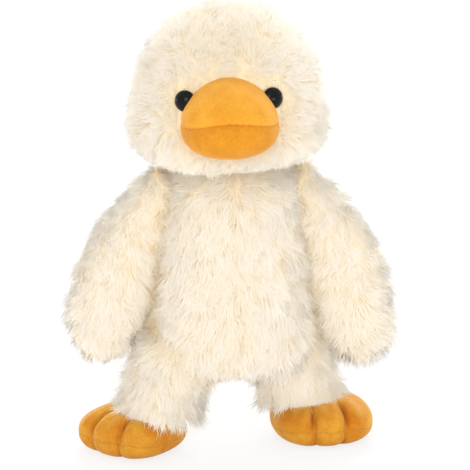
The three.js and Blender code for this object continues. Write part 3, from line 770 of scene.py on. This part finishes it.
# The bill bulges from the face, and the eyes stand beside it.
faceDepth = halfSizes(headForm, shareAt(headForm, headHair["billHeight"]))[1]
billForm = dict(bottom=195, height=46, width=(66, 48), depth=(80, 68), blunt=(2.6, 2), mouth=213,
                mouthRise=9.5, centreY=-float(faceDepth), columns=160, rows=48,
                roll=1.7, rollReach=1.3, pucker=0.25, puckers=46, puckerReach=4, corners=(0.72, 0.98),
                cornerRoll=0.15, overlap=0.45, topClosing=(0.78, 0.95), bottomClosing=(0.05, 0.22))
eyeForm = dict(spacing=51, height=227, radius=6.5, dome=4.6, rim=(0.3, 0.9), bevel=0.5, steps=14, turns=48)


# Underneath, the point is lifted to a ball about the neck's pivot, which leaves room for the neck.
def headPoint(around, up):
    p = uprightPoint(headForm, around, crowded(up))
    pivot, socket = bodyForm["neckPivot"], bodyForm["neckRadius"] + headForm["socketGap"]
    low = pivot + np.sqrt(np.maximum(socket ** 2 - p[..., 0] ** 2 - p[..., 1] ** 2, 0))
    lifted = np.where((up < 0.5) & (low > pivot + 1), np.maximum(p[..., 2], low), p[..., 2])
    return vec(p[..., 0], p[..., 1], lifted)


def headMiddle(points):
    return vec(0, 0, headForm["core"] + 0 * points[..., 2])


# The eyes stand on the head's surface, which faces along the gradient of |x / wide|^oval + |y / deep|^oval.
def eyeSpot(side):
    share = shareAt(headForm, eyeForm["height"])
    wide, deep = halfSizes(headForm, share)
    x = side * eyeForm["spacing"] / 2
    reach = (1 - abs(x / wide) ** oval) ** (1 / oval)
    step = 0.01
    slope = (halfSizes(headForm, share + step)[1] - deep) / (step * headForm["height"])
    gradient = [side * abs(x / wide) ** (oval - 1) / wide, -(reach ** (oval - 1)) / deep, -slope / deep]
    outward = unit(np.array(gradient))
    return np.array([x, -deep * reach, eyeForm["height"]]), outward


eyeSpots = {hand: eyeSpot(side) for hand, side in sides.items()}


# Distance in mm to the nearer eye.
def fromEyes(points):
    return np.min([np.linalg.norm(points - spot, axis=-1) for spot, _ in eyeSpots.values()], axis=0)


# The angle at which the head is as wide as the gusset, where a cheek panel starts.
def gussetAngle(up):
    wide = halfSizes(headForm, crowded(up))[0]
    return np.arccos(np.clip(headForm["gusset"] / 2 / np.maximum(wide, 1e-6), 0, 1) ** (oval / 2))


# The strip of the head under a panel, as a function of across, which runs from -1 to 1, and of up.
def headStrip(kind):
    def point(across, up):
        limit = gussetAngle(up)
        if kind == "cheek":
            return headPoint(across * limit, up)
        start = -math.pi / 2 if kind == "front" else math.pi / 2
        return headPoint(start + across * (math.pi / 2 - limit), up)
    return point


# No hair grows inside the bill, over the neck or under the eyes.
def headKeep(points):
    f = headHair
    inBill = insideOf(billForm, points, f["bareInBill"]) & (points[:, 1] < 0)
    overNeck = (points[:, 2] < f["bareBelow"]) & (np.hypot(points[:, 0], points[:, 1]) < f["bareWithin"])
    return ~inBill & ~overNeck & (fromEyes(points) > f["bareAtEyes"])


# Hair runs away from the bill in front, and back and down behind. It is short and curled on the brow,
# short beside the bill, round the eyes and under the chin, and parts a little at the gusset's seams.
def headPile(roots, normals):
    f, by = headHair, headChange
    x, y, height = roots.T
    fromBill = unit(roots - np.array([0, billForm["centreY"] + by["source"][0], by["source"][1]]))
    back = vec(by["spread"] * x, by["backwards"], -by["backwards"])
    lay = tangent(fromBill - np.array([0, 0, by["sag"]]), normals)
    lay = unit(mix(lay, tangent(back, normals), smooth(y, *f["behind"])[:, None]))
    acrossBrow, upBrow = (x - f["brow"][0]) / f["browSize"][0], (height - f["brow"][1]) / f["browSize"][1]
    brow = np.exp(-acrossBrow ** 2 - upBrow ** 2) * (y < by["browFront"])
    whorl = np.cross(normals, lay) * np.sign(roots[:, :1] + 0.01)
    lay = unit(mix(lay, whorl, (by["browTurn"] * brow)[:, None]))
    acrossBill, upBill = x / f["bill"][0], (height - f["billHeight"]) / f["bill"][1]
    nearBill = np.abs(acrossBill) ** oval + np.abs(upBill) ** oval
    clearOfBill = mix(by["byBill"], 1, smooth(nearBill, *f["nearBill"]) + (y > 0))
    length = mix(by["byEyes"], 1, smooth(fromEyes(roots), *f["eyes"])) * clearOfBill
    seam = np.abs(np.abs(x) - headForm["gusset"] / 2)
    length = length * mix(1, by["onBrow"], brow) * mix(by["atSeam"], 1, smooth(seam, *f["seam"]))
    length = length * mix(by["underneath"], 1, smooth(height, *f["underneath"]))
    # Painted shade at the bill's edge and under the chin, and a yellower brow: there the hairs are less pale,
    # so their root's colour shows further up.
    atBill = by["billCrease"] * ((1 - smooth(nearBill, *f["atBill"])) * (y < 0))
    atChin = by["chinCrease"] * (1 - smooth(height, *f["chin"]))
    crease = np.max([atBill, atChin, by["browCrease"] * brow], axis=0)
    return grow(roots, normals, lay, headSettings, np.minimum(length, 1), 1 - crease)


def makeHead():
    def pileOn(strip, upRange):
        return headPile(*scatter(strip, (-1, 1), upRange, headSettings["perMm2"], headMiddle, headKeep))

    front, back, haired = headStrip("front"), headStrip("back"), headHair["haired"]
    size = headForm["gussetGrid"]
    frontGrid, frontNormals = gridOf(front, (-1, 1), (0, 1), *size, headMiddle)
    backGrid, backNormals = gridOf(back, (1, -1), (1, 0), *size, headMiddle)
    plushPanel("headCrownGusset", "head", "head_crown_gusset", np.concatenate([frontGrid, backGrid]),
               np.concatenate([frontNormals, backNormals]),
               {"FrontPile": pileOn(front, haired), "BackPile": pileOn(back, haired)}, headPose)
    ups = np.linspace(*haired, 400)
    cheekUps = ups[gussetAngle(ups) > 0.02]  # where the head is wider than its gusset
    upRange = (cheekUps[0], cheekUps[-1])
    for hand, side in sides.items():
        def cheek(across, up):
            return headStrip("cheek")(across, up) * np.array([side, 1, 1])

        grid, normals = gridOf(cheek, (-1, 1), upRange, *headForm["cheekGrid"], headMiddle)
        plushPanel(f"headCheek{hand.title()}", "head", f"head_cheek_{hand}_panel", grid, normals,
                   {"Pile": pileOn(cheek, upRange)}, headPose)


makeHead()


# A velour panel: a thinner shell with no pile, whose normals come from the grid itself.
def velourPanel(name, body, node, grid, material, pose):
    normals = unit(np.cross(np.gradient(grid, axis=1), np.gradient(grid, axis=0)) + 1e-9)
    if np.mean(dot(normals, grid - grid.reshape(-1, 3).mean(0))) < 0:
        normals = -normals
    points, faces = cleaned(*shell(grid, normals, clothForm["velour"]))
    piece = makePiece(name, posed(points, pose), faces, material)
    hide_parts(node)
    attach(piece, body)
    print(name, len(faces), "triangles")


# The mouth is an arch: its height is mouth + mouthRise * (1 - (x / half the width)^2). The panels roll
# inwards at it by roll * exp(-distance / rollReach), with small puckers at the stitches, a sine round the
# bill that fades with the distance, and less of both at the mouth's corners.
def billPoint(around, rows, upper):
    f = billForm
    mouthShare = shareAt(f, f["mouth"])
    x = uprightPoint(f, around, mouthShare)[..., 0] / (f["width"][0] / 2)
    seam = mouthShare + f["mouthRise"] * (1 - x ** 2) / f["height"]
    share = mix(seam, 1, rows) if upper else seam * rows
    p = uprightPoint(f, around, share)
    fromSeam = np.abs(share - seam) * f["height"]
    pucker = f["pucker"] * np.sin(around * f["puckers"]) * np.exp(-fromSeam / f["puckerReach"])
    roll = f["roll"] * np.exp(-fromSeam / f["rollReach"]) + pucker
    roll = roll * mix(1, f["cornerRoll"], smooth(np.abs(x), *f["corners"]))
    outward = unit(p - vec(0, f["centreY"], p[..., 2]))
    return p - outward * roll[..., None]


# The panels reach a little more than half way round, and the whole way at the bill's top and bottom.
def makeBill():
    f = billForm
    turn, rows = np.meshgrid(np.linspace(-1, 1, f["columns"]), crowded(np.linspace(0, 1, f["rows"])))
    half = math.pi / 2 + f["overlap"]
    upperTurn = turn * mix(half, math.pi, smooth(rows, *f["topClosing"]))
    lowerTurn = turn * mix(math.pi, half, smooth(rows, *f["bottomClosing"]))
    upper = billPoint(upperTurn - math.pi / 2, rows, True)
    lower = billPoint(lowerTurn - math.pi / 2, rows, False)
    velourPanel("billUpper", "head", "bill_upper_panel", upper, billUpperVelour, headPose)
    velourPanel("billLower", "head", "bill_lower_panel", lower, billLowerVelour, headPose)


makeBill()

# Feet: a blunt oval with a notch on each side of the middle toe, rounded like a pillow, flat underneath.
footForm = dict(length=62, width=62, thick=25, shift=13, outset=10, notch=2.6, notchAt=20, notchBreadth=8,
                stitch=1.8, stitchBreadth=2.2, blunt=2.5, pillow=2.6, pressed=1.5, seam=11, ankle=(26, 20),
                ankleTop=20.8, turned=dict(left=5, right=-42), columns=320, topRows=54, soleRows=16)

# The gathers between the toes: how deep and broad they are, how the cloth swells beside them, how far they
# lie from the middle at the toes and at the ankle, and where they fade, all in mm.
gatherForm = dict(depth=5, breadth=1.1, swell=1.8, beside=6, besideBreadth=5, spacing=(11.0, 6.5),
                  backwards=(32, -6), low=(4, 12), heel=(-10, 6), ankle=(24, 34), wadBreadth=3.2)
footPoses = {hand: poseOf(footForm["turned"][hand], 0, (0, 0, 0),
                          (side * legForm["ankleX"], side * legForm["stride"], 0))
             for hand, side in sides.items()}


# Rise of the top between the toes: swell * exp(-((d - beside) / besideBreadth)^2) less
# depth * exp(-(d / breadth)^2), where d is the distance from a gather. It fades towards the sole, the heel
# and the ankle.
def toeGather(x, y, z, breadth):
    g = gatherForm
    fromGather = np.abs(x) - mix(*g["spacing"], smooth(-y, *g["backwards"]))
    fade = smooth(z, *g["low"]) * smooth(-y, *g["heel"])
    fade = fade * smooth(np.hypot(x + footForm["outset"], y - footForm["shift"]), *g["ankle"])
    beside = g["swell"] * np.exp(-((np.abs(fromGather) - g["beside"]) / g["besideBreadth"]) ** 2)
    return fade * (beside - g["depth"] * np.exp(-(fromGather / breadth) ** 2))


# The outline's radius is (|2c / width|^blunt + |2s / length|^blunt)^(-1/blunt), less a broad and a narrow
# bell curve at each notch. Gathers run back from the notches, and the ankle sinks into the top.
def footPoint(around, tilt):
    f = footForm
    c, s = np.abs(np.cos(around)), np.abs(np.sin(around))
    outline = ((2 * c / f["width"]) ** f["blunt"] + (2 * s / f["length"]) ** f["blunt"]) ** (-1 / f["blunt"])
    fromToe = np.abs((np.degrees(around) + 270) % 360 - 180)
    fromNotch = fromToe - f["notchAt"]
    outline = outline - f["notch"] * np.exp(-(fromNotch / f["notchBreadth"]) ** 2)
    outline = outline - f["stitch"] * np.exp(-(fromNotch / f["stitchBreadth"]) ** 2)
    half = (f["thick"] + f["pressed"]) / 2
    reach = outline * np.cos(tilt) ** (2 / f["pillow"])
    z = f["thick"] - half + half * powered(np.sin(tilt), 2 / f["pillow"])
    x, y = reach * np.cos(around), reach * np.sin(around)
    z = z + toeGather(x, y, z, gatherForm["breadth"])
    x, y = x + f["outset"], y - f["shift"]
    hollow = smooth(np.hypot(x, y), *f["ankle"])
    z = np.where(z > f["thick"] / 2, mix(z, np.minimum(z, f["ankleTop"]), hollow), z)
    return vec(x, y, np.maximum(z, 0))


def makeFeet():
    f = footForm
    half = (f["thick"] + f["pressed"]) / 2
    seamTilt = -math.asin(((f["thick"] - half - f["seam"]) / half) ** (f["pillow"] / 2))
    around = np.linspace(0, 2 * math.pi, f["columns"])
    for hand, side in sides.items():
        for part, node, low, high, rows in (("Top", "top_panel", seamTilt, math.pi / 2, f["topRows"]),
                                            ("Sole", "sole", -math.pi / 2, seamTilt, f["soleRows"])):
            grid = footPoint(*np.meshgrid(around, np.linspace(low, high, rows))) * np.array([side, 1, 1])
            velourPanel(f"foot{hand.title()}{part}", f"foot_{hand}", f"foot_{hand}_{node}", grid, footVelour,
                        footPoses[hand])


makeFeet()


# Eyes: a glossy dome on a short rim. A profile, which is a quarter of an oval above the rim, is turned
# through a full circle: x = radius * cos(turn), y = radius * sin(turn).
def makeEyes():
    f = eyeForm
    angle = np.linspace(0, math.pi / 2, f["steps"])
    dome = np.stack([f["radius"] * np.cos(angle), f["rim"][1] + f["dome"] * np.sin(angle)], -1)
    profile = np.concatenate([[[0, f["rim"][0]], [f["radius"] - f["bevel"], f["rim"][0]]], dome])
    turn = np.linspace(0, 2 * math.pi, f["turns"] + 1)[:, None]
    grid = vec(profile[:, 0] * np.cos(turn), profile[:, 0] * np.sin(turn), profile[:, 1] + 0 * turn)
    number = np.arange(grid[..., 0].size).reshape(grid.shape[:2])
    a, b, c, d = number[:-1, :-1], number[:-1, 1:], number[1:, 1:], number[1:, :-1]
    points, faces = cleaned(grid.reshape(-1, 3), quads(a, d, c, b))
    for hand, (spot, outward) in eyeSpots.items():
        turnTo = np.array(Vector((0, 0, 1)).rotation_difference(Vector(outward)).to_matrix())
        eye = makePiece(f"eye{hand.title()}", posed(points @ turnTo.T + spot, headPose), faces, eyeBlack)
        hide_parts(f"eye_{hand}")
        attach(eye, "head")
    print("eyes made")


makeEyes()

# Stuffing: the body of each wad and, in metres, the voxels that it is remeshed with, and the size and depth
# of its large and small lumps, each with its salt.
wads = dict(head_stuffing="head", neck_stuffing="neck", bill_stuffing="head", body_stuffing_lower="torso",
            body_stuffing_upper="torso", wing_left_stuffing="wing_left", wing_right_stuffing="wing_right",
            leg_left_stuffing="leg_left", leg_right_stuffing="leg_right", foot_left_stuffing="foot_left",
            foot_right_stuffing="foot_right")
wadForm = dict(voxel=0.003, lumps=((0.008, 0.0007, 5), (0.003, 0.0004, 6)))


# A copy of a node's mesh with its doubles merged.
def copyOf(node, name):
    piece = bpy.data.objects.new(name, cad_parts[node].data.copy())
    bpy.context.scene.collection.objects.link(piece)
    bm = bmesh.new()
    bm.from_mesh(piece.data)
    bmesh.ops.remove_doubles(bm, verts=bm.verts, dist=1e-5)
    bm.to_mesh(piece.data)
    bm.free()
    return piece


# Each wad is a lumpy copy of the room that its skin leaves: its surface moves in by depth * (1 + noise) for
# each size of lump. In the feet it also sinks under the gathers between the toes.
def makeWad(node, body):
    wad = copyOf(node, node.replace("_stuffing", "Wad").replace("_", ""))
    remesh = wad.modifiers.new("remesh", "REMESH")
    remesh.mode, remesh.voxel_size = "VOXEL", wadForm["voxel"]
    shaped = bpy.data.meshes.new_from_object(wad.evaluated_get(bpy.context.evaluated_depsgraph_get()))
    wad.modifiers.clear()
    wad.data = shaped
    points = np.zeros(len(shaped.vertices) * 3)
    shaped.vertices.foreach_get("co", points)
    outwards = np.zeros(len(shaped.vertices) * 3)
    shaped.vertices.foreach_get("normal", outwards)
    points, outwards = points.reshape(-1, 3), outwards.reshape(-1, 3)
    lumps = sum(depth * (1 + waviness(points, size, salt)) for size, depth, salt in wadForm["lumps"])
    points = points - outwards * lumps[:, None]
    if node.startswith("foot_"):
        hand = body.removeprefix("foot_")
        matrix, shift = footPoses[hand]
        own = ((points - toyAxis) * 1000 - shift) @ matrix * np.array([sides[hand], 1, 1])
        sunk = toeGather(own[:, 0] - footForm["outset"], own[:, 1] + footForm["shift"], own[:, 2],
                         gatherForm["wadBreadth"])
        points[:, 2] += 0.001 * np.minimum(sunk, 0)
    shaped.vertices.foreach_set("co", points.ravel())
    shaped.polygons.foreach_set("use_smooth", np.ones(len(shaped.polygons), bool))
    shaped.materials.clear()
    shaped.materials.append(looseFibre)
    shaped.update()
    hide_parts(node)
    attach(wad, body)


for node, body in wads.items():
    makeWad(node, body)
print("wads made")

# The squeaker and the washers show as the solids that they are.
for node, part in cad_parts.items():
    if node.startswith(("squeaker_", "eye_washer_")):
        part.data.materials.clear()
        part.data.materials.append(milkyPlastic)


# The bellows: a copy of its solid with its doubles merged, on the torso, with a mesh of its own.
def makeBellows():
    bellows = copyOf("squeaker_bellows", "squeakerBellows")
    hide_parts("squeaker_bellows")
    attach(bellows, "torso")
    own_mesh(bellows)


makeBellows()


# Studio: a pale ground that keeps the duck's shadow, soft lamps, and the camera at the photograph's angle.
# The world is a plain level of light, and a brighter backdrop where the camera or a gloss sees it.
studio = dict(ground=(0.93, 0.93, 0.93, 1), half=4, glow=0.8, light=0.86, backdrop=1.0)


def paleGround():
    material, tree, shader = newMaterial("paleGround", 0.9)
    shader.inputs["Base Color"].default_value = studio["ground"]
    glow = tree.nodes.new("ShaderNodeEmission")
    rays = tree.nodes.new("ShaderNodeLightPath")
    both = tree.nodes.new("ShaderNodeMixShader")
    tree.links.new(shader.outputs[0], both.inputs[1])
    tree.links.new(glow.outputs[0], both.inputs[2])
    share = tree.nodes.new("ShaderNodeMath")
    share.operation = "MULTIPLY"
    share.inputs[1].default_value = studio["glow"]
    tree.links.new(rays.outputs["Is Camera Ray"], share.inputs[0])
    tree.links.new(share.outputs[0], both.inputs[0])
    tree.links.new(both.outputs[0], tree.nodes["Material Output"].inputs["Surface"])
    return material


ground = bpy.data.meshes.new("ground")
corners = [(x * studio["half"], y * studio["half"], 0) for x, y in ((-1, -1), (1, -1), (1, 1), (-1, 1))]
ground.from_pydata(corners, [], [(0, 1, 2, 3)])
ground.materials.append(paleGround())
floor = bpy.data.objects.new("floor", ground)
bpy.context.scene.collection.objects.link(floor)

# Each lamp: where it stands in metres, its width and height, and its power in watts.
lamps = dict(keyLamp=((-0.7, -2.0, 1.1), (1.2, 1.2), 12), fillLamp=((0.9, -2.0, 0.3), (1.2, 0.5), 7.5),
             leftLamp=((1.5, 0.9, 0.15), (1.0, 0.3), 3), rightLamp=((-1.5, 0.9, 0.15), (1.0, 0.3), 3.5),
             backLamp=((0.3, 1.4, 1.2), (1.2, 0.8), 20), eyeLamp=((-0.5, -1.6, 1.1), (0.12, 0.12), 1.5))
aim = Vector((0.0, 0.0, 0.14))
for name, (spot, size, power) in lamps.items():
    data = bpy.data.lights.new(name, "AREA")
    data.shape, data.size, data.size_y, data.energy = "RECTANGLE", size[0], size[1], power
    lamp = bpy.data.objects.new(name, data)
    lamp.location = spot
    lamp.rotation_euler = (aim - Vector(spot)).to_track_quat("-Z", "Y").to_euler()
    bpy.context.scene.collection.objects.link(lamp)

world = bpy.data.worlds.new("studio")
bpy.context.scene.world = world
world.use_nodes = True
sky = world.node_tree
background = sky.nodes["Background"]
background.inputs["Color"].default_value = (1, 1, 1, 1)
rays = sky.nodes.new("ShaderNodeLightPath")
seen = sky.nodes.new("ShaderNodeMath")
seen.operation = "MAXIMUM"
sky.links.new(rays.outputs["Is Camera Ray"], seen.inputs[0])
sky.links.new(rays.outputs["Is Glossy Ray"], seen.inputs[1])
strength = sky.nodes.new("ShaderNodeMapRange")
strength.inputs["To Min"].default_value = studio["light"]
strength.inputs["To Max"].default_value = studio["backdrop"]
sky.links.new(seen.outputs[0], strength.inputs["Value"])
sky.links.new(strength.outputs[0], background.inputs["Strength"])

# View: degrees round from the front and up, distance and the width seen at the target in metres, and the
# target in millimetres.
view = dict(azimuth=-6, elevation=17, distance=2.5, seen=0.2844, target=(1.97, -10, 133.3))
azimuth, elevation = math.radians(view["azimuth"]), math.radians(view["elevation"])
target = Vector(placed(np.array(view["target"])))
level = math.cos(elevation)
back = Vector((math.sin(azimuth) * level, -math.cos(azimuth) * level, math.sin(elevation)))
lens = bpy.data.cameras.new("camera")
lens.lens = lens.sensor_width * view["distance"] / view["seen"]
lens.clip_start, lens.clip_end = 0.05, 20
camera = bpy.data.objects.new("camera", lens)
camera.location = target + back * view["distance"]
camera.rotation_mode = "QUATERNION"
camera.rotation_quaternion = (-back).to_track_quat("-Z", "Y")
bpy.context.scene.collection.objects.link(camera)
bpy.context.scene.camera = camera
bpy.context.scene.view_settings.view_transform = "Standard"

bpy.context.view_layer.update()
